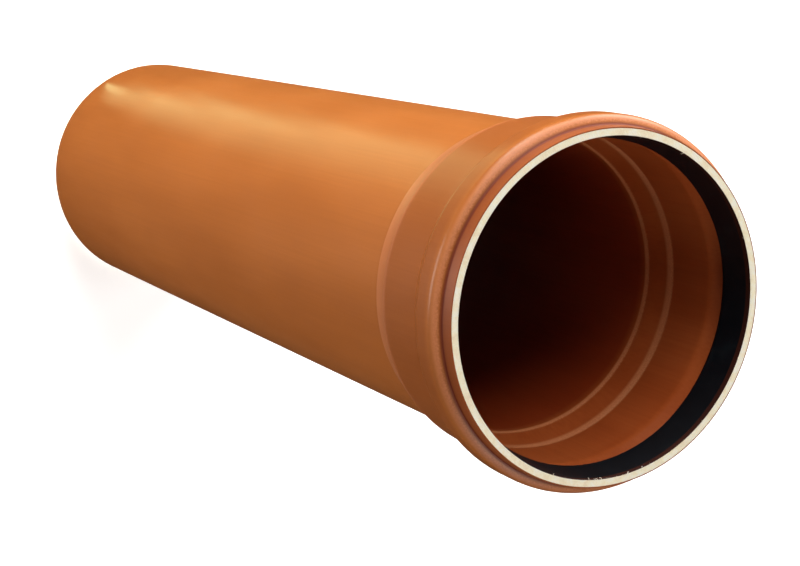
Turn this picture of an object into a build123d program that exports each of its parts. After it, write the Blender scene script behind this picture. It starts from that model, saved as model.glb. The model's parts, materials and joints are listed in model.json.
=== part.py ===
from build123d import *

import os
from math import atan2, hypot, radians, tan

# Three-layer PVC-U sewer pipe with a push-fit socket and a black lip seal.
# Lengths are in millimetres. Stations along the pipe are measured from the mouth.

# Barrel: DN/OD 315, class SN 4
barrel_od = 315.0
wall = 7.7
outer_skin = 1.0
inner_skin = 0.8
total_length = 1200.0

# Spigot end: the chamfer that enters the next socket
chamfer_length = 12.0
chamfer_angle = 15.0

# Socket: the belled end
spigot_clearance = 0.8
socket_wall = 7.4
bell_start = 129.7
bell_end = 158.3
bell_outer_radius = 9.0
bell_mouth_radius = 42.0
bell_bore_radius = 26.0

# Sealing bead: the raised ring round the socket, and the groove inside it
lip_length = 7.0
lip_flare = 1.3
nose_step = 1.0
neck_depth = 2.6
crease = 13.4
bead_start = 18.0
bead_end = 44.0
ramp_end = 64.5
bead_height = 10.9
bead_wall = 7.2
front_wall = 5.0
crease_radius = 1.2
shoulder_radius = 9.0
ramp_radius = 9.0

# Lip seal
seal_reach = 27.6
seal_drop = 5.2
seal_tip = 3.0
seal_root = 8.0
seal_body_end = 5.5

barrel_r = barrel_od / 2
bore_r = barrel_r - wall
socket_r = barrel_r + spigot_clearance
socket_outer_r = socket_r + socket_wall
bead_r = socket_outer_r + bead_height
groove_r = bead_r - bead_wall
ramp_angle = atan2(bead_r - socket_outer_r, ramp_end - bead_end)
bell_angle = atan2(socket_r - bore_r, bell_end - bell_start)
chamfer_depth = chamfer_length * tan(radians(chamfer_angle))


def offset_stations(stations, shift):
    """Move a surface's (x, r, fillet) stations outwards by shift, with its ends kept in their end faces."""
    normals = []
    for (x0, r0, _), (x1, r1, _) in zip(stations, stations[1:]):
        size = hypot(x1 - x0, r1 - r0)
        normals.append((-(r1 - r0) / size, (x1 - x0) / size))
    first, last = normals[0], normals[-1]
    normals = [(-first[0], first[1])] + normals + [(-last[0], last[1])]
    moved = []
    for (x, r, fillet), before, after in zip(stations, normals, normals[1:]):
        scale = shift / (1 + before[0] * after[0] + before[1] * after[1])
        turn = before[0] * after[1] - before[1] * after[0]
        if fillet > 0:
            fillet += shift if turn < 0 else -shift
        moved.append((x + (before[0] + after[0]) * scale, r + (before[1] + after[1]) * scale, fillet))
    return moved


def surface_line(stations):
    """The edges of a surface's profile, from the mouth to the spigot end."""
    points = [(x, r) for x, r, _ in stations]
    radii = [fillet for _, _, fillet in stations[1:-1]]
    return FilletPolyline(*points, radius=radii)


def layer_face(inside, outside):
    """The section of the layer between two surfaces."""
    inner_line = surface_line(inside)
    outer_line = surface_line(outside)
    mouth_line = Line(inner_line @ 0, outer_line @ 0)
    spigot_line = Line(inner_line @ 1, outer_line @ 1)
    return make_face([inner_line, outer_line, mouth_line, spigot_line])


# Stations of the pipe's outer and inner surface
outer_surface = [
    (0, socket_outer_r, 0),
    (crease, socket_outer_r + lip_flare, crease_radius),
    (bead_start, bead_r, shoulder_radius),
    (bead_end, bead_r, ramp_radius),
    (ramp_end, socket_outer_r, ramp_radius),
    (bell_start - socket_wall * tan(bell_angle / 2), socket_outer_r, bell_outer_radius),
    (bell_end, barrel_r, bell_outer_radius),
    (total_length, barrel_r, 0),
]
neck = crease + front_wall
inner_surface = [
    (0, socket_r, 0),
    (lip_length, socket_r, 0),
    (lip_length + nose_step, socket_r + nose_step, 0),
    (neck, socket_r + neck_depth, front_wall + crease_radius - neck_depth),
    (bead_start + front_wall, groove_r, shoulder_radius / 2),
    (bead_end - bead_wall * tan(ramp_angle / 2), groove_r, ramp_radius / 2),
    (ramp_end - socket_wall * tan(ramp_angle / 2), socket_r, ramp_radius + socket_wall),
    (bell_start, socket_r, bell_mouth_radius),
    (bell_end, bore_r, bell_bore_radius),
    (total_length, bore_r, 0),
]
under_outer_skin = offset_stations(outer_surface, -outer_skin)
over_inner_skin = offset_stations(inner_surface, inner_skin)

# The chamfer takes the outer skin and part of the core off the spigot end
chamfer_cut = make_face(
    Polyline(
        (total_length - chamfer_length, barrel_r),
        (total_length, barrel_r - chamfer_depth),
        (total_length + wall, barrel_r - chamfer_depth),
        (total_length + wall, barrel_r + wall),
        (total_length - chamfer_length, barrel_r + wall),
        close=True,
    )
)

# The seal fills the groove, and its lip reaches into the socket. The gap behind the lip is as deep
# as a spigot pushes the lip back.
seal_start = lip_length
seal_gap = seal_drop - spigot_clearance
tip_x = seal_start + seal_reach
tip_r = socket_r - seal_drop
seal_end = bead_end + seal_body_end
seal_blank = make_face(
    Polyline(
        (seal_start, socket_r),
        (tip_x, tip_r),
        (tip_x + seal_tip * 0.7, tip_r + seal_tip * 0.8),
        (tip_x - seal_root, tip_r + seal_tip + seal_gap),
        (tip_x + seal_tip * 0.7, tip_r + seal_tip + seal_gap),
        (seal_end - seal_tip, socket_r + seal_tip),
        (seal_end, socket_r + 2 * seal_tip),
        (seal_end, bead_r - bead_wall / 2),
        (bead_start + front_wall, bead_r - bead_wall / 2),
        (bead_start + front_wall / 2, groove_r),
        (crease + front_wall / 2, socket_r + socket_wall / 2),
        (seal_start, socket_r + socket_wall / 2),
        close=True,
    )
)

wall_face = layer_face(inner_surface, outer_surface)
sections = {
    "outer_skin": layer_face(under_outer_skin, outer_surface) - chamfer_cut,
    "foam_core": layer_face(over_inner_skin, under_outer_skin) - chamfer_cut,
    "inner_skin": layer_face(inner_surface, over_inner_skin),
    "seal_ring": seal_blank - wall_face,
}

# The pipe stands on its spigot end, with the mouth up
standing = Pos(0, 0, total_length) * Rot(-90, 0, 0)

os.makedirs("parts", exist_ok=True)
for name, section in sections.items():
    ring = revolve(Plane.YZ * section, Axis.Y)
    export_step(standing * ring, os.path.join("parts", name + ".step"))
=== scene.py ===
import json
from math import asin, atan2, cos, hypot, pi, radians, sin, tan

import bpy
from mathutils import Matrix, Vector


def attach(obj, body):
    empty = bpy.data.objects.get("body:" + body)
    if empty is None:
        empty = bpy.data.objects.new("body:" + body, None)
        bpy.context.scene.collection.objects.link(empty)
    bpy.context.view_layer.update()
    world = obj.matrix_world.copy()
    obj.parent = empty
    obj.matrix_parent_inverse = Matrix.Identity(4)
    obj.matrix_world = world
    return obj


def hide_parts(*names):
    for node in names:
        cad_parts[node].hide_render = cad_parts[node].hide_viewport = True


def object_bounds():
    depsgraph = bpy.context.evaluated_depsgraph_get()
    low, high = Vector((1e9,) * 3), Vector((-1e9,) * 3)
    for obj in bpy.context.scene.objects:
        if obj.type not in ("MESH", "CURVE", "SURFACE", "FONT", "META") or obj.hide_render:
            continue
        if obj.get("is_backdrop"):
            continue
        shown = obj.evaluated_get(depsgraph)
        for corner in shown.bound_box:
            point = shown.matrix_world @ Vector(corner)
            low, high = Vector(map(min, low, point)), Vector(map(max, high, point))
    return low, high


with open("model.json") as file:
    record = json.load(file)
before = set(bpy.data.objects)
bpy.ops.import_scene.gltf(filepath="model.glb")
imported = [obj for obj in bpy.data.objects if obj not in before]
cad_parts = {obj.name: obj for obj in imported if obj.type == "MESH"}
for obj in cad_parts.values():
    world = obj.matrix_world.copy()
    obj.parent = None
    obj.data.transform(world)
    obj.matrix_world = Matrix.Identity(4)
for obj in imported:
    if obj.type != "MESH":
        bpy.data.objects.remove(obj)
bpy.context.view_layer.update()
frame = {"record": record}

# Sizes in millimetres. Stations along the pipe are measured from the mouth.
MM = 0.001
mounts = {mount["name"]: mount for mount in frame["record"]["mounts"]}
BARREL_R = mounts["spigot"]["dims"]["r_mm"]
SOCKET_R = mounts["socket_mouth"]["dims"]["r_mm"]
BORE_R = mounts["waterway"]["dims"]["r_mm"]
LIP_LENGTH = mounts["socket_mouth"]["dims"]["length_mm"]
TOTAL_LENGTH = 1200.0
SOCKET_WALL = 7.4
OUTER_SKIN = 1.0
INNER_SKIN = 0.8

# The spigot end's chamfer
CHAMFER_LENGTH = 12.0
CHAMFER_DEPTH = CHAMFER_LENGTH * tan(radians(15))

# The bell, where the socket narrows to the barrel
BELL_START = 129.7
BELL_END = 158.3
BELL_OUTER_RADIUS = 9.0
BELL_MOUTH_RADIUS = 42.0
BELL_BORE_RADIUS = 26.0

# The flared lip, the crease behind it, and the bead with its groove inside
LIP_FLARE = 1.3
NOSE_STEP = 1.0
NECK_DEPTH = 2.6
CREASE = 13.4
CREASE_RADIUS = 1.2
BEAD_START = 18.0
BEAD_END = 44.0
RAMP_END = 64.5
RAMP_RADIUS = 9.0
BEAD_HEIGHT = 10.9
BEAD_WALL = 7.2
FRONT_WALL = 5.0
SHOULDER_RADIUS = 9.0

# The seal. Its lip has a blunt tip, given as shares of its thickness, and rounded corners.
SEAL_REACH = 27.6
SEAL_DROP = 5.2
SEAL_TIP = 3.0
SEAL_ROOT = 8.0
SEAL_BODY_END = 5.5
TIP_OVERHANG = 0.7
TIP_RISE = 0.8
TIP_ROUNDING = 1.0
HEEL_ROUNDING = 0.8
BODY_ROUNDING = 0.6

SOCKET_OUTER_R = SOCKET_R + SOCKET_WALL
BEAD_R = SOCKET_OUTER_R + BEAD_HEIGHT
GROOVE_R = BEAD_R - BEAD_WALL
RAMP_ANGLE = atan2(BEAD_HEIGHT, RAMP_END - BEAD_END)
BELL_ANGLE = atan2(SOCKET_R - BORE_R, BELL_END - BELL_START)

# The saw draws a film of the soft foam over the bore skin's edge, so the cut face is cream to its inner rim
SAW_FILM = 0.3

# The wall draws in by up to this depth, in waves of this length
WAVE_DEPTH = 0.15
WAVE_LENGTH = 120.0

# Fineness of the turned meshes. The hidden faces between the layers need fewer points.
SEGMENTS = 360
RUN_STEP = 12.0
HIDDEN_STEP = 60.0
SEAL_STEP = 4.0
ARC_STEP = radians(7)
FEWEST_ARC_STEPS = 3
FACE_RINGS = 8
SHARP_ANGLE = radians(32)
# A section is turned round a circle of next to no size, in metres
TURNING_CIRCLE = 0.001

# The photograph's camera, fitted to the mouth's ellipse and to the pipe's outline. There the pipe lies, and
# its axis falls away from the mouth. The mouth's centre is right of the camera, below it and away from it.
IMAGE_WIDTH_PX = 800
FOCAL_PX = 1784.7
SENSOR_MM = 36.0
LOOK_DOWN = radians(11.538)
LOOK_ASIDE = radians(27.469)
PIPE_FALL = radians(0.98453)
MOUTH_RIGHT = 190.53
MOUTH_BELOW = 24.49
MOUTH_AWAY = 1613.98


def colour(code):
    """A linear colour from an sRGB hex value."""
    parts = [int(code[i:i + 2], 16) / 255 for i in (1, 3, 5)]
    return [c / 12.92 if c <= 0.04045 else ((c + 0.055) / 1.055) ** 2.4 for c in parts] + [1.0]


def add(tree, kind, values=None, links=None, stops=(), **settings):
    """Add one node with its settings, its sockets' values, the sockets that feed it and its colour stops."""
    node = tree.nodes.new(kind)
    for name, value in settings.items():
        setattr(node, name, value)
    for key, value in (values or {}).items():
        node.inputs[key].default_value = value
    for key, source in (links or {}).items():
        tree.links.new(source, node.inputs[key])
    for i, (position, code) in enumerate(stops):
        steps = node.color_ramp.elements
        step = steps[i] if i < 2 else steps.new(position)
        step.position = position
        step.color = colour(code)
    return node


# The pipe's own frame has the mouth's centre at the origin and +Y along the axis, into the pipe
mouth = mounts["socket_mouth"]
along = -Vector(mouth["axis"]).normalized()
mouth_centre = Vector(mouth["pos_m"]) - along * LIP_LENGTH / 2 * MM
aside = Vector((1, 0, 0))
above = aside.cross(along)
PIPE = Matrix.Translation(mouth_centre) @ Matrix((aside, along, above)).transposed().to_4x4()

# The photograph's level frame, also from the mouth's centre, where the camera is placed
LEVEL = PIPE @ Matrix.Rotation(PIPE_FALL, 4, "X")


# Section lines

def offset_stations(stations, shift):
    """Move a surface's (x, r, fillet) stations outwards by shift, with its ends kept in their end faces."""
    normals = []
    for (x0, r0, _), (x1, r1, _) in zip(stations, stations[1:]):
        size = hypot(x1 - x0, r1 - r0)
        normals.append((-(r1 - r0) / size, (x1 - x0) / size))
    first, last = normals[0], normals[-1]
    normals = [(-first[0], first[1])] + normals + [(-last[0], last[1])]
    moved = []
    for (x, r, fillet), before, after in zip(stations, normals, normals[1:]):
        scale = shift / (1 + before[0] * after[0] + before[1] * after[1])
        turn = before[0] * after[1] - before[1] * after[0]
        if fillet > 0:
            fillet += shift if turn < 0 else -shift
        moved.append((x + (before[0] + after[0]) * scale, r + (before[1] + after[1]) * scale, fillet))
    return moved


def rounded(stations, run_step=RUN_STEP):
    """Points of a surface's section line: arcs at its corners, and points along its straight runs."""
    corners = [Vector(station[:2]) for station in stations]
    line = [corners[0]]
    for i in range(1, len(corners)):
        start = corners[i]
        arc = []
        if i < len(corners) - 1:
            into = (corners[i] - corners[i - 1]).normalized()
            out = (corners[i + 1] - corners[i]).normalized()
            fillet = stations[i][2]
            turn = asin(max(-1.0, min(1.0, into.x * out.y - into.y * out.x)))
            if fillet > 0 and abs(turn) > 1e-6:
                start = corners[i] - into * fillet * tan(abs(turn) / 2)
                side = Vector((-into.y, into.x)) * (1 if turn > 0 else -1)
                centre = start + side * fillet
                steps = max(FEWEST_ARC_STEPS, round(abs(turn) / ARC_STEP))
                for k in range(1, steps + 1):
                    angle = turn * k / steps
                    spoke = Vector((side.y * sin(angle) - side.x * cos(angle),
                                    -side.x * sin(angle) - side.y * cos(angle)))
                    arc.append(centre + spoke * fillet)
        run = start - line[-1]
        pieces = max(1, round(run.length / run_step))
        line += [line[-1] + run * k / pieces for k in range(1, pieces)] + [start] + arc
    return line


def cut_at_chamfer(stations):
    """End an outer line where the spigot's chamfer cuts it."""
    r = stations[-1][1]
    start = TOTAL_LENGTH - CHAMFER_LENGTH + CHAMFER_LENGTH * (BARREL_R - r) / CHAMFER_DEPTH
    return stations[:-1] + [(start, r, 0)]


outer_surface = [
    (0, SOCKET_OUTER_R, 0),
    (CREASE, SOCKET_OUTER_R + LIP_FLARE, CREASE_RADIUS),
    (BEAD_START, BEAD_R, SHOULDER_RADIUS),
    (BEAD_END, BEAD_R, RAMP_RADIUS),
    (RAMP_END, SOCKET_OUTER_R, RAMP_RADIUS),
    (BELL_START - SOCKET_WALL * tan(BELL_ANGLE / 2), SOCKET_OUTER_R, BELL_OUTER_RADIUS),
    (BELL_END, BARREL_R, BELL_OUTER_RADIUS),
    (TOTAL_LENGTH, BARREL_R, 0),
]
inner_surface = [
    (0, SOCKET_R, 0),
    (LIP_LENGTH, SOCKET_R, 0),
    (LIP_LENGTH + NOSE_STEP, SOCKET_R + NOSE_STEP, 0),
    (CREASE + FRONT_WALL, SOCKET_R + NECK_DEPTH, FRONT_WALL + CREASE_RADIUS - NECK_DEPTH),
    (BEAD_START + FRONT_WALL, GROOVE_R, SHOULDER_RADIUS / 2),
    (BEAD_END - BEAD_WALL * tan(RAMP_ANGLE / 2), GROOVE_R, RAMP_RADIUS / 2),
    (RAMP_END - SOCKET_WALL * tan(RAMP_ANGLE / 2), SOCKET_R, RAMP_RADIUS + SOCKET_WALL),
    (BELL_START, SOCKET_R, BELL_MOUTH_RADIUS),
    (BELL_END, BORE_R, BELL_BORE_RADIUS),
    (TOTAL_LENGTH, BORE_R, 0),
]
under_outer_skin = offset_stations(outer_surface, -OUTER_SKIN)
over_inner_skin = offset_stations(inner_surface, INNER_SKIN)

outside_line = rounded(cut_at_chamfer(outer_surface))
under_line = rounded(cut_at_chamfer(under_outer_skin), HIDDEN_STEP)
over_line = rounded(over_inner_skin, HIDDEN_STEP)
inside_line = rounded(inner_surface)
over_line[0] = Vector((SAW_FILM, SOCKET_R + INNER_SKIN))
inside_line[0] = Vector((SAW_FILM, SOCKET_R))

# Each layer's closed outline goes into the pipe along its inside and back along its outside, which turns its
# faces outwards. The cut face at the mouth has rings across the foam.
spigot_edge = Vector((TOTAL_LENGTH, BARREL_R - CHAMFER_DEPTH))
face_width = SOCKET_WALL - OUTER_SKIN
cut_face = [Vector((0, SOCKET_R + face_width * k / FACE_RINGS)) for k in reversed(range(FACE_RINGS))]
outlines = {
    "outer_skin": under_line + outside_line[::-1],
    "foam_core": over_line + [spigot_edge] + under_line[::-1] + cut_face + [inside_line[0]],
    "inner_skin": inside_line + over_line[::-1],
}

# The seal: the lip, the gap behind it, and the body that fills the groove
SEAL_GAP = SEAL_DROP - (SOCKET_R - BARREL_R)
tip_x = LIP_LENGTH + SEAL_REACH
tip_r = SOCKET_R - SEAL_DROP
heel_x = tip_x + SEAL_TIP * TIP_OVERHANG
seal_end = BEAD_END + SEAL_BODY_END
seal_front = [
    (LIP_LENGTH, SOCKET_R, 0),
    (tip_x, tip_r, TIP_ROUNDING),
    (heel_x, tip_r + SEAL_TIP * TIP_RISE, HEEL_ROUNDING),
    (tip_x - SEAL_ROOT, tip_r + SEAL_TIP + SEAL_GAP, 0),
    (heel_x, tip_r + SEAL_TIP + SEAL_GAP, BODY_ROUNDING),
    (seal_end - SEAL_TIP, SOCKET_R + SEAL_TIP, HEEL_ROUNDING),
    (seal_end, SOCKET_R + 2 * SEAL_TIP, 0),
]
nose_end = LIP_LENGTH + NOSE_STEP
groove_line = [p for p in inside_line if nose_end <= p.x < seal_end and p.y >= SOCKET_R + NOSE_STEP]
outlines["seal_ring"] = rounded(seal_front, SEAL_STEP) + groove_line[::-1]


# Geometry Nodes. Both trees work in metres about the Z axis, with the mouth at Z = 0 and Z into the pipe.

def new_tree(name, sockets):
    """An empty tree with its named inputs, and its input node's sockets."""
    tree = bpy.data.node_groups.new(name, "GeometryNodeTree")
    for socket, kind in sockets.items():
        tree.interface.new_socket(socket, in_out="INPUT", socket_type="NodeSocket" + kind)
    tree.interface.new_socket("Piece", in_out="OUTPUT", socket_type="NodeSocketGeometry")
    return tree, add(tree, "NodeGroupInput").outputs


def close_tree(tree, given, geometry):
    """End a tree in real faces with their material."""
    real = add(tree, "GeometryNodeRealizeInstances", links={"Geometry": geometry})
    dressed = add(tree, "GeometryNodeSetMaterial",
                  links={"Geometry": real.outputs[0], "Material": given["Material"]})
    add(tree, "NodeGroupOutput", links={"Piece": dressed.outputs[0]})


def turning_tree():
    """Turns a closed section about the axis, and lets the wall draw in a little here and there."""
    tree, given = new_tree("turn the section", {
        "Section": "Geometry", "Segments": "Int", "Waviness": "Float", "Wave Length": "Float",
        "Seed": "Float", "Material": "Material"})
    profile = add(tree, "GeometryNodeMeshToCurve", links={"Mesh": given["Section"]})
    circle = add(tree, "GeometryNodeCurvePrimitiveCircle", {"Radius": TURNING_CIRCLE},
                 {"Resolution": given["Segments"]})
    wall = add(tree, "GeometryNodeCurveToMesh",
               links={"Curve": circle.outputs["Curve"], "Profile Curve": profile.outputs["Curve"]})
    # Waves are three times as long along the pipe as round it
    place = add(tree, "GeometryNodeInputPosition")
    drawn = add(tree, "ShaderNodeVectorMath", {1: (1, 1, 1 / 3)}, {0: place.outputs[0]}, operation="MULTIPLY")
    pitch = add(tree, "ShaderNodeMath", {0: 1.0}, {1: given["Wave Length"]}, operation="DIVIDE")
    waves = add(tree, "ShaderNodeTexNoise", {"Detail": 1.0},
                {"Vector": drawn.outputs[0], "Scale": pitch.outputs[0], "W": given["Seed"]},
                noise_dimensions="4D")
    depth = add(tree, "ShaderNodeMath", links={0: waves.outputs[0], 1: given["Waviness"]},
                operation="MULTIPLY")
    level = add(tree, "ShaderNodeVectorMath", {1: (-1, -1, 0)}, {0: place.outputs[0]}, operation="MULTIPLY")
    inward = add(tree, "ShaderNodeVectorMath", links={0: level.outputs[0]}, operation="NORMALIZE")
    shift = add(tree, "ShaderNodeVectorMath", links={0: inward.outputs[0], "Scale": depth.outputs[0]},
                operation="SCALE")
    drawn_in = add(tree, "GeometryNodeSetPosition",
                   links={"Geometry": wall.outputs[0], "Offset": shift.outputs[0]})
    close_tree(tree, given, drawn_in.outputs[0])
    return tree


def burr_tree():
    """Sets curled slivers of foam on the mouth's inner rim, most of them where the saw left the wall."""
    tree, given = new_tree("saw burrs", {
        "Rim Radius": "Float", "Places": "Int", "Sliver Length": "Float", "Sliver Thickness": "Float",
        "Share All Round": "Float", "Share At Saw Exit": "Float", "Seed": "Int", "Material": "Material"})
    rim = add(tree, "GeometryNodeMeshCircle",
              links={"Vertices": given["Places"], "Radius": given["Rim Radius"]})
    place = add(tree, "GeometryNodeInputPosition")
    # The saw left the wall at the bottom of the mouth, which is +Y here
    across = add(tree, "ShaderNodeSeparateXYZ", links={0: place.outputs[0]})
    lowness = add(tree, "ShaderNodeMath", links={0: across.outputs["Y"], 1: given["Rim Radius"]},
                  operation="DIVIDE")
    share = add(tree, "ShaderNodeMapRange", {"From Min": 0.94, "From Max": 0.995},
                {"Value": lowness.outputs[0], "To Min": given["Share All Round"],
                 "To Max": given["Share At Saw Exit"]})
    draw = add(tree, "FunctionNodeRandomValue", links={"Seed": given["Seed"]}, data_type="FLOAT")
    kept = add(tree, "FunctionNodeCompare", links={0: draw.outputs[1], 1: share.outputs[0]},
               data_type="FLOAT", operation="LESS_THAN")

    # One sliver of unit length: +X out of the rim towards the axis, then curled back
    bend = add(tree, "GeometryNodeCurveQuadraticBezier",
               {"Resolution": 5, "Start": (-0.1, 0, 0), "Middle": (0.8, 0.1, 0), "End": (0.7, 0.9, 0.1)})
    thinning = add(tree, "GeometryNodeSplineParameter")
    taper = add(tree, "ShaderNodeMapRange", {"To Min": 1.0, "To Max": 0.25},
                {"Value": thinning.outputs["Factor"]})
    tapered = add(tree, "GeometryNodeSetCurveRadius",
                  links={"Curve": bend.outputs[0], "Radius": taper.outputs[0]})
    thickness = add(tree, "ShaderNodeMath",
                    links={0: given["Sliver Thickness"], 1: given["Sliver Length"]}, operation="DIVIDE")
    ring = add(tree, "GeometryNodeCurvePrimitiveCircle", {"Resolution": 5}, {"Radius": thickness.outputs[0]})
    sliver = add(tree, "GeometryNodeCurveToMesh", {"Fill Caps": True},
                 {"Curve": tapered.outputs[0], "Profile Curve": ring.outputs[0]})

    # Each sliver points to the axis, leans into the pipe at random and has a size of its own
    to_axis = add(tree, "ShaderNodeVectorMath", {1: (-1, -1, 0)}, {0: place.outputs[0]},
                  operation="MULTIPLY")
    aimed = add(tree, "FunctionNodeAlignRotationToVector", links={"Vector": to_axis.outputs[0]}, axis="X")
    second_seed = add(tree, "ShaderNodeMath", {1: 17.0}, {0: given["Seed"]}, operation="ADD")
    lean = add(tree, "FunctionNodeRandomValue", {0: (0.0, -0.5, -0.8), 1: (pi, 0.0, 0.8)},
               {"Seed": second_seed.outputs[0]}, data_type="FLOAT_VECTOR")
    leant = add(tree, "FunctionNodeEulerToRotation", links={0: lean.outputs[0]})
    turned_to = add(tree, "FunctionNodeRotateRotation",
                    links={"Rotation": aimed.outputs[0], "Rotate By": leant.outputs[0]},
                    rotation_space="LOCAL")
    third_seed = add(tree, "ShaderNodeMath", {1: 31.0}, {0: given["Seed"]}, operation="ADD")
    small = add(tree, "ShaderNodeMath", {1: 0.25}, {0: given["Sliver Length"]}, operation="MULTIPLY")
    size = add(tree, "FunctionNodeRandomValue",
               links={2: small.outputs[0], 3: given["Sliver Length"], "Seed": third_seed.outputs[0]},
               data_type="FLOAT")
    burrs = add(tree, "GeometryNodeInstanceOnPoints",
                links={"Points": rim.outputs["Mesh"], "Selection": kept.outputs[0],
                       "Instance": sliver.outputs[0], "Rotation": turned_to.outputs[0],
                       "Scale": size.outputs[1]})
    close_tree(tree, given, burrs.outputs[0])
    return tree


def evaluated(source, tree, name, inputs):
    """Run a tree on an object, keep its plain mesh in the pipe's place, and remove the source."""
    modifier = source.modifiers.new(tree.name, "NODES")
    modifier.node_group = tree
    sockets = {item.name: item.identifier for item in tree.interface.items_tree if item.in_out == "INPUT"}
    for key, value in inputs.items():
        modifier[sockets[key]] = value
    depsgraph = bpy.context.evaluated_depsgraph_get()
    mesh = bpy.data.meshes.new_from_object(source.evaluated_get(depsgraph))
    source.modifiers.remove(modifier)
    bpy.data.objects.remove(source)
    mesh.name = name
    mesh.transform(PIPE @ Matrix.Rotation(-pi / 2, 4, "X"))
    piece = bpy.data.objects.new(name, mesh)
    bpy.context.scene.collection.objects.link(piece)
    piece.data.shade_smooth()
    piece.data.set_sharp_from_angle(angle=SHARP_ANGLE)
    return piece


def from_lines(name, points, edges):
    """A new object of points and edges in the scene, for a tree to work on."""
    mesh = bpy.data.meshes.new(name)
    mesh.from_pydata(points, edges, [])
    source = bpy.data.objects.new(name, mesh)
    bpy.context.scene.collection.objects.link(source)
    return source


# Materials

def finish_of(name, base, roughness, ior, patterns):
    """Start a material: its shader, its place in the pipe's own frame, and its patterns of noise.

    A pattern has its size round the pipe and along it, in millimetres, and its detail.
    """
    made = bpy.data.materials.new(name)
    made.use_nodes = True
    tree = made.node_tree
    shader = tree.nodes["Principled BSDF"]
    shader.inputs["Base Color"].default_value = colour(base)
    shader.inputs["Roughness"].default_value = roughness
    shader.inputs["IOR"].default_value = ior
    coordinates = add(tree, "ShaderNodeTexCoord")
    centred = add(tree, "ShaderNodeMapping", {"Location": mouth_centre, "Rotation": PIPE.to_euler()},
                  {"Vector": coordinates.outputs["Object"]}, vector_type="TEXTURE")
    place = centred.outputs[0]
    noise = {}
    for pattern, (across, lengthwise, detail) in patterns.items():
        drawn = add(tree, "ShaderNodeVectorMath", {1: (1, across / lengthwise, 1)}, {0: place},
                    operation="MULTIPLY")
        cloud = add(tree, "ShaderNodeTexNoise", {"Scale": 1 / (across * MM), "Detail": detail},
                    {"Vector": drawn.outputs[0]})
        noise[pattern] = cloud.outputs[0]
    return made, tree, shader, place, noise


# The socket was formed on the pipe's end up to this station. Each table below gives a skin's stations up to
# there, in millimetres, with a tone at each.
FORMED_TO = 180.0

# Pale bands, paler and rougher the lighter the tone. On the bore they are stress whitening, where the hot
# wall was curved over the former. On the outside they are painted highlights, on the bead's flank and over
# the bell.
NOT_PALE = "#000000"
BORE_BENDS = [
    (0, NOT_PALE), (121, NOT_PALE), (124, "#FFFFFF"), (130, "#E0E0E0"), (133, "#101010"), (153, NOT_PALE),
    (155, "#F0F0F0"), (158, "#F0F0F0"), (160, NOT_PALE), (FORMED_TO, NOT_PALE)]
# The outside's pale bands are painted highlights, on the bead's flank and over the bell
OUTSIDE_PAINTED_HIGHLIGHTS = [
    (0, NOT_PALE), (14.4, NOT_PALE), (15.4, "#F0F0F0"), (17.5, "#D8D8D8"), (20, NOT_PALE), (124, NOT_PALE),
    (127, "#B0B0B0"), (156, "#C0C0C0"), (159, "#101010"), (FORMED_TO, NOT_PALE)]

# Painted shade, multiplied into the colour. On the bore it lies on the lip in front of the seal, and past the
# bell, deeper in, where it is redder too. On the outside it lies on the lip in the bead's shadow, darkest in
# the crease, and a little over the socket.
UNSHADED = "#FFFFFF"
BORE_PAINTED_SHADE = [
    (0, "#5A4A46"), (7, "#5A4A46"), (9, UNSHADED), (160, UNSHADED), (170, "#E4C0B8"), (FORMED_TO, "#E4C0B8")]
OUTSIDE_PAINTED_SHADE = [
    (0, "#E0C8B8"), (11, "#D2B8A8"), (12.6, "#B07858"), (13.8, "#B07858"), (14.8, UNSHADED), (20, UNSHADED),
    (30, "#E6DCD0"), (125, "#E6DCD0"), (165, UNSHADED), (FORMED_TO, UNSHADED)]

# A pale band's edge strays by this much, in millimetres
RAGGED_EDGE = 1.6


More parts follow.
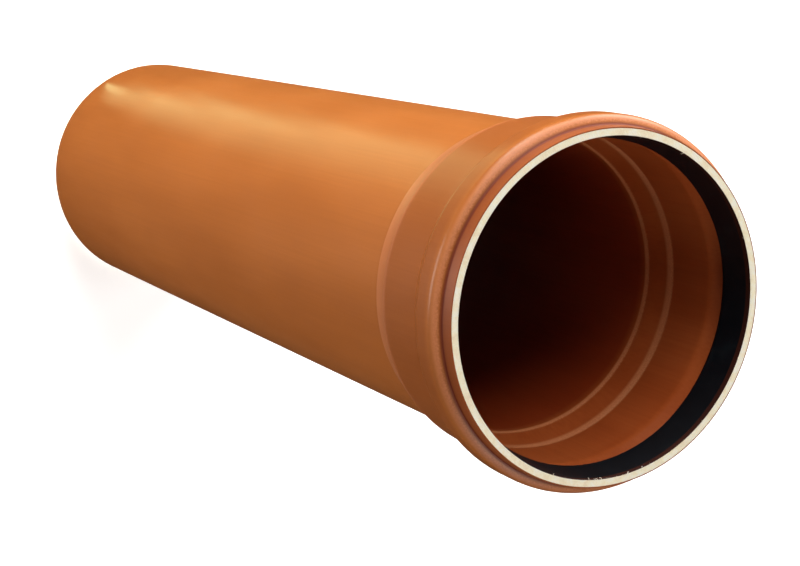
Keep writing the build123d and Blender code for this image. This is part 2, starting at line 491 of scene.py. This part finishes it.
def extruded_pvc_u(side, dark, middle, light, pale, whitening_and_highlights, painted_shade):
    """Extruded PVC-U as it leaves the die, semi-gloss and orange-brown.

    The eye sees broad faint clouds in the pigment, thin draw lines along the pipe, a gloss that breaks up
    where the pipe was handled, and pale rings: on the bore where the wall was curved over the former, and on
    the outside painted highlights on the bead's flank and over the bell. Painted shade lies near the mouth
    and deeper in the bore. Real draw lines are 0.2 to 0.5 mm apart and real orange peel is under 1 mm: both
    are drawn coarser here, to show at the picture's scale of about 1 mm to a pixel.
    """
    made, tree, shader, place, noise = finish_of("extruded PVC-U, " + side, middle, 0.30, 1.50, {
        "clouds": (80, 260, 2), "draw lines": (2.6, 220, 3), "handling": (24, 90, 5), "peel": (4, 4, 2),
        "fine lines": (2.0, 160, 2), "grain": (1.8, 1.8, 3)})

    # The pigment: clouds, with the draw lines fainter than they are
    faint = add(tree, "ShaderNodeMath", {1: 0.45, 2: 0.275}, {0: noise["draw lines"]},
                operation="MULTIPLY_ADD")
    pigment = add(tree, "ShaderNodeMath", links={0: noise["clouds"], 1: faint.outputs[0]},
                  operation="MULTIPLY")
    tone = add(tree, "ShaderNodeValToRGB", links={0: pigment.outputs[0]},
               stops=[(0.15, dark), (0.25, middle), (0.35, light)])

    # The pale rings, stress whitening on the bore and painted highlights on the outside, with ragged edges
    # and a mottled face
    station = add(tree, "ShaderNodeSeparateXYZ", links={0: place})
    ragged = add(tree, "ShaderNodeMath", {1: RAGGED_EDGE * MM},
                 {0: noise["grain"], 2: station.outputs["Y"]}, operation="MULTIPLY_ADD")
    reach = add(tree, "ShaderNodeMapRange",
                {"From Min": RAGGED_EDGE / 2 * MM, "From Max": (RAGGED_EDGE / 2 + FORMED_TO) * MM},
                {"Value": ragged.outputs[0]})
    whitening_and_highlight_ramp = add(tree, "ShaderNodeValToRGB", links={0: reach.outputs[0]},
               stops=[(x / FORMED_TO, code) for x, code in whitening_and_highlights])
    mottle = add(tree, "ShaderNodeMapRange", {"From Min": 0.40, "From Max": 0.60, "To Min": 0.7},
                 {"Value": noise["grain"]})
    whitening_and_highlight = add(tree, "ShaderNodeMath", links={0: whitening_and_highlight_ramp.outputs[0], 1: mottle.outputs[0]},
                   operation="MULTIPLY")
    skin = add(tree, "ShaderNodeMix", {7: colour(pale)}, {0: whitening_and_highlight.outputs[0], 6: tone.outputs[0]},
               data_type="RGBA")

    # Painted shade lies over all that
    near = add(tree, "ShaderNodeMapRange", {"From Max": FORMED_TO * MM}, {"Value": station.outputs["Y"]})
    left = add(tree, "ShaderNodeValToRGB", links={0: near.outputs[0]},
               stops=[(x / FORMED_TO, code) for x, code in painted_shade])
    painted_shade_mix = add(tree, "ShaderNodeMix", {0: 1.0}, {6: skin.outputs[2], 7: left.outputs[0]},
                data_type="RGBA", blend_type="MULTIPLY")
    tree.links.new(painted_shade_mix.outputs[2], shader.inputs["Base Color"])

    # Handling breaks up the gloss, the pale bands dull it, and it is rougher where the painted shade is
    # darkest
    gloss = add(tree, "ShaderNodeMapRange",
                {"From Min": 0.3, "From Max": 0.7, "To Min": 0.28, "To Max": 0.32},
                {"Value": noise["handling"]})
    dulled = add(tree, "ShaderNodeMath", {1: 0.25}, {0: whitening_and_highlight.outputs[0], 2: gloss.outputs[0]},
                 operation="MULTIPLY_ADD")
    rough_in_painted_shade = add(tree, "ShaderNodeMath", {1: -0.5, 2: 0.4}, {0: left.outputs[0]}, operation="MULTIPLY_ADD",
                use_clamp=True)
    rough = add(tree, "ShaderNodeMath", links={0: dulled.outputs[0], 1: rough_in_painted_shade.outputs[0]}, operation="ADD")
    tree.links.new(rough.outputs[0], shader.inputs["Roughness"])
    # Chalk and dust on the skin take some of its shine
    shader.inputs["Specular IOR Level"].default_value = 0.35

    relief = add(tree, "ShaderNodeMath", {1: 0.5}, {0: noise["peel"], 2: noise["fine lines"]},
                 operation="MULTIPLY_ADD")
    relief_with_pale_bands = add(tree, "ShaderNodeMath", links={0: whitening_and_highlight.outputs[0], 1: relief.outputs[0]},
                 operation="ADD")
    bump = add(tree, "ShaderNodeBump", {"Strength": 0.10, "Distance": 0.35 * MM},
               {"Height": relief_with_pale_bands.outputs[0]})
    tree.links.new(bump.outputs[0], shader.inputs["Normal"])
    return made


# A wave texture of scale 1 repeats every tenth of pi
WAVE_AT_SCALE_1 = pi / 10


def sawn_foamed_pvc_u():
    """Foamed PVC-U where a saw has cut it: matt and cream.

    The eye sees the saw's lines across the face, a slightly uneven cream, and open cells. Real saw lines are
    about 0.5 mm apart and the cells 0.1 to 0.3 mm across: both are drawn coarser, to show.
    """
    made, tree, shader, place, noise = finish_of("sawn foamed PVC-U", "#FFF0CF", 0.62, 1.50, {
        "shade": (11, 11, 3), "smear": (3, 3, 2)})
    uneven = add(tree, "ShaderNodeMath", {1: 0.5}, {0: noise["smear"], 2: noise["shade"]},
                 operation="MULTIPLY_ADD")
    tone = add(tree, "ShaderNodeValToRGB", links={0: uneven.outputs[0]},
               stops=[(0.55, "#F8E4C1"), (0.72, "#FFF0CF"), (0.90, "#FFF6E1")])
    cells = add(tree, "ShaderNodeTexVoronoi", {"Scale": 1 / (1.1 * MM)}, {"Vector": place})
    open_cells = add(tree, "ShaderNodeMapRange",
                     {"From Min": 0.10, "From Max": 0.22, "To Min": 0.25, "To Max": 0.0},
                     {"Value": cells.outputs["Distance"]})
    # The open cells are painted darker, as shade in the pits
    face = add(tree, "ShaderNodeMix", {7: colour("#C9B48F")}, {0: open_cells.outputs[0], 6: tone.outputs[0]},
               data_type="RGBA")
    tree.links.new(face.outputs[2], shader.inputs["Base Color"])
    slanted = add(tree, "ShaderNodeMapping", {"Rotation": (0, radians(35), 0)}, {"Vector": place})
    saw_lines = add(tree, "ShaderNodeTexWave",
                    {"Scale": WAVE_AT_SCALE_1 / (2.2 * MM), "Distortion": 2.5, "Detail": 2.0,
                     "Detail Scale": 0.4},
                    {"Vector": slanted.outputs[0]}, wave_type="BANDS", bands_direction="X")
    pits = add(tree, "ShaderNodeMath", {1: -1.5}, {0: open_cells.outputs[0], 2: saw_lines.outputs["Fac"]},
               operation="MULTIPLY_ADD")
    bump = add(tree, "ShaderNodeBump", {"Strength": 0.30, "Distance": 0.25 * MM},
               {"Height": pits.outputs[0]})
    tree.links.new(bump.outputs[0], shader.inputs["Normal"])
    # A little light passes through the foam, by so many millimetres of red, green and blue
    shader.inputs["Subsurface Weight"].default_value = 0.12
    shader.inputs["Subsurface Radius"].default_value = (3.0, 2.2, 1.4)
    shader.inputs["Subsurface Scale"].default_value = MM
    return made


def moulded_rubber():
    """Moulded black EPDM: smooth, faintly blue-black and a little dusty.

    The eye sees a soft sheen, grey where dust and talc lie, and fine rings left by the turned mould. Real
    mould rings are about 0.2 mm apart, and are drawn coarser.
    """
    made, tree, shader, place, noise = finish_of("moulded EPDM rubber", "#04070A", 0.40, 1.45, {
        "dust": (22, 22, 4), "specks": (1.6, 1.6, 2), "skin": (1.2, 1.2, 2)})
    tone = add(tree, "ShaderNodeValToRGB", links={0: noise["dust"]},
               stops=[(0.40, "#00070D"), (0.60, "#030B11"), (0.80, "#0E181C")])
    speck = add(tree, "ShaderNodeMapRange", {"From Min": 0.70, "From Max": 0.76, "To Max": 0.25},
                {"Value": noise["specks"]})
    dusty = add(tree, "ShaderNodeMix", {7: colour("#5B5E60")}, {0: speck.outputs[0], 6: tone.outputs[0]},
                data_type="RGBA")
    tree.links.new(dusty.outputs[2], shader.inputs["Base Color"])
    mould_rings = add(tree, "ShaderNodeTexWave", {"Scale": WAVE_AT_SCALE_1 / (1.5 * MM), "Distortion": 0.4},
                      {"Vector": place}, wave_type="BANDS", bands_direction="Y")
    relief = add(tree, "ShaderNodeMath", {1: 0.6}, {0: mould_rings.outputs["Fac"], 2: noise["skin"]},
                 operation="MULTIPLY_ADD")
    bump = add(tree, "ShaderNodeBump", {"Strength": 0.12, "Distance": 0.2 * MM},
               {"Height": relief.outputs[0]})
    tree.links.new(bump.outputs[0], shader.inputs["Normal"])
    return made


# The outside's pale colour is the colour of its painted highlights
outside_skin = extruded_pvc_u("outside", "#A15820", "#A65C23", "#AB6026", "#D08052",
                              OUTSIDE_PAINTED_HIGHLIGHTS, OUTSIDE_PAINTED_SHADE)
# The bore's tones are redder than the outside's: painted light, for the red of light bounced round inside the
# pipe
bore_skin = extruded_pvc_u("bore", "#9C471E", "#A54E23", "#AC5528", "#D88C5C", BORE_BENDS, BORE_PAINTED_SHADE)
foam = sawn_foamed_pvc_u()
rubber = moulded_rubber()


# The pieces

def turned_piece(name, node, material, tree):
    """Turn a node's outline into the piece that stands for it."""
    points = [(p.y * MM - TURNING_CIRCLE, -p.x * MM, 0) for p in outlines[node]]
    edges = [(i, (i + 1) % len(points)) for i in range(len(points))]
    piece = evaluated(from_lines(name + " section", points, edges), tree, name, {
        "Segments": SEGMENTS, "Waviness": WAVE_DEPTH * MM, "Wave Length": WAVE_LENGTH * MM, "Seed": 4.0,
        "Material": material})
    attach(piece, "root")
    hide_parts(node)


turning = turning_tree()
turned_piece("outer_layer", "outer_skin", outside_skin, turning)
turned_piece("foam_layer", "foam_core", foam, turning)
turned_piece("inner_layer", "inner_skin", bore_skin, turning)
turned_piece("rubber_lip_seal", "seal_ring", rubber, turning)

# The slivers are rooted just outside the rim's edge, in the foam
burrs = evaluated(from_lines("burrs source", [(0, 0, 0)], []), burr_tree(), "saw_burrs", {
    "Rim Radius": (SOCKET_R + 0.1) * MM, "Places": 420, "Sliver Length": 2.6 * MM,
    "Sliver Thickness": 0.30 * MM, "Share All Round": 0.03, "Share At Saw Exit": 0.35, "Seed": 11,
    "Material": foam})
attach(burrs, "root")


# Floor, light and camera

def staged_floor():
    """A plain pale floor, far wider than the picture."""
    half = 30.0
    mesh = bpy.data.meshes.new("floor")
    mesh.from_pydata([(-half, -half, 0), (half, -half, 0), (half, half, 0), (-half, half, 0)], [],
                     [(0, 1, 2, 3)])
    floor = bpy.data.objects.new("floor", mesh)
    bpy.context.scene.collection.objects.link(floor)
    made = bpy.data.materials.new("matt white board, lit from behind")
    made.use_nodes = True
    shader = made.node_tree.nodes["Principled BSDF"]
    shader.inputs["Base Color"].default_value = colour("#FDFCFA")
    shader.inputs["Roughness"].default_value = 0.9
    shader.inputs["Emission Color"].default_value = colour("#FFFFFF")
    shader.inputs["Emission Strength"].default_value = 0.52
    floor.data.materials.append(made)
    # The photograph's pipe mirrors dark surroundings, so its gloss doesn't mirror the floor
    floor.visible_glossy = False
    floor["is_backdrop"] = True


def soft_light(name, place, target, width, height, power, tint):
    """An area light that faces a point, both in the pipe's own frame."""
    lamp = bpy.data.lights.new(name, "AREA")
    lamp.shape = "RECTANGLE"
    lamp.size = width
    lamp.size_y = height
    lamp.energy = power
    lamp.color = colour(tint)[:3]
    back = (place - target).normalized()
    side = Vector((0, 0, 1)).cross(back).normalized()
    light = bpy.data.objects.new(name, lamp)
    turned = Matrix((side, back.cross(side), back)).transposed().to_4x4()
    light.matrix_world = PIPE @ Matrix.Translation(place) @ turned
    light.visible_camera = False
    bpy.context.scene.collection.objects.link(light)
    return light


staged_floor()

# The studio's softboxes, in degrees, metres and watts. Each has its angle about the pipe, from the right and
# upwards as the mouth is seen, its angle from the axis in front of the mouth, its distance from the barrel's
# middle, its width, its power and its tint.
SOFTBOXES = {
    "above": (95, 84, 3.0, 1.6, 66, "#F8FFFF"),
    "upper right": (50, 80, 3.0, 1.6, 90, "#F8FFFF"),
    "left": (168, 97, 1.6, 0.8, 10, "#FFFFFF"),
    "right": (0, 74, 3.0, 1.6, 26, "#FFFFFF"),
    "above in front": (95, 50, 3.0, 1.6, 54, "#FFFFFF"),
    "left in front": (180, 45, 3.0, 1.6, 7, "#FFFFFF"),
    "right in front": (0, 45, 3.0, 1.6, 5, "#FFFFFF"),
    "below in front": (270, 45, 3.0, 1.6, 28, "#FFFCF8"),
    "in front": (90, 12, 3.0, 1.6, 2.5, "#FFFFFF"),
}
middle_of_barrel = Vector((0, TOTAL_LENGTH / 2 * MM, 0))
for name, (around, lean, away, width, power, tint) in SOFTBOXES.items():
    around, lean = radians(around), radians(lean)
    reach = Vector((cos(around) * sin(lean), -cos(lean), sin(around) * sin(lean)))
    soft_light(name, middle_of_barrel + reach * away, middle_of_barrel, width, width, power, tint)

# A leaning wedge of strips near the pipe's far end, wider the further up: the barrel mirrors them as one
# long streak that ends sharply above and fades below. Each has its lowest and highest point, its right edge
# and its width, in metres.
STRIPS = {
    "first strip": (0.142, 0.20, -0.080, 0.012),
    "second strip": (0.20, 0.30, -0.068, 0.03),
    "third strip": (0.30, 0.50, -0.035, 0.06),
    "fourth strip": (0.50, 0.70, 0.01, 0.10),
    "fifth strip": (0.70, 0.95, 0.04, 0.14),
}
STRIP_STATION = 1.19
STRIP_TINT = "#F0FFB4"
# Times the width, and watts per square metre
STRIP_LAYERS = {"core": (1.0, 8.0), "glow": (3.5, 2.6)}
for name, (bottom, top, edge, width) in STRIPS.items():
    for layer, (spread, strength) in STRIP_LAYERS.items():
        wide, high = width * spread, top - bottom
        place = Vector((edge - wide / 2, STRIP_STATION, (bottom + top) / 2))
        strip = soft_light(name + " " + layer, place, place - Vector((0, 1, 0)), wide, high,
                           strength * wide * high, STRIP_TINT)
        # Only the gloss shows it
        strip.visible_diffuse = False

world = bpy.data.worlds.new("studio")
bpy.context.scene.world = world
world.use_nodes = True
world.node_tree.nodes["Background"].inputs["Color"].default_value = colour("#FFFFFF")
world.node_tree.nodes["Background"].inputs["Strength"].default_value = 0.01

forward = Vector((sin(LOOK_ASIDE) * cos(LOOK_DOWN), cos(LOOK_ASIDE) * cos(LOOK_DOWN), -sin(LOOK_DOWN)))
right = Vector((cos(LOOK_ASIDE), -sin(LOOK_ASIDE), 0))
up = right.cross(forward)
eye = (up * MOUTH_BELOW - right * MOUTH_RIGHT - forward * MOUTH_AWAY) * MM
facing = Matrix((right, up, -forward)).transposed().to_4x4()
camera = bpy.data.objects.new("camera", bpy.data.cameras.new("camera"))
camera.data.sensor_width = SENSOR_MM
camera.data.lens = SENSOR_MM * FOCAL_PX / IMAGE_WIDTH_PX
camera.matrix_world = LEVEL @ Matrix.Translation(eye) @ facing
bpy.context.scene.collection.objects.link(camera)
bpy.context.scene.camera = camera
bpy.context.scene.view_settings.view_transform = "Standard"

low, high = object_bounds()
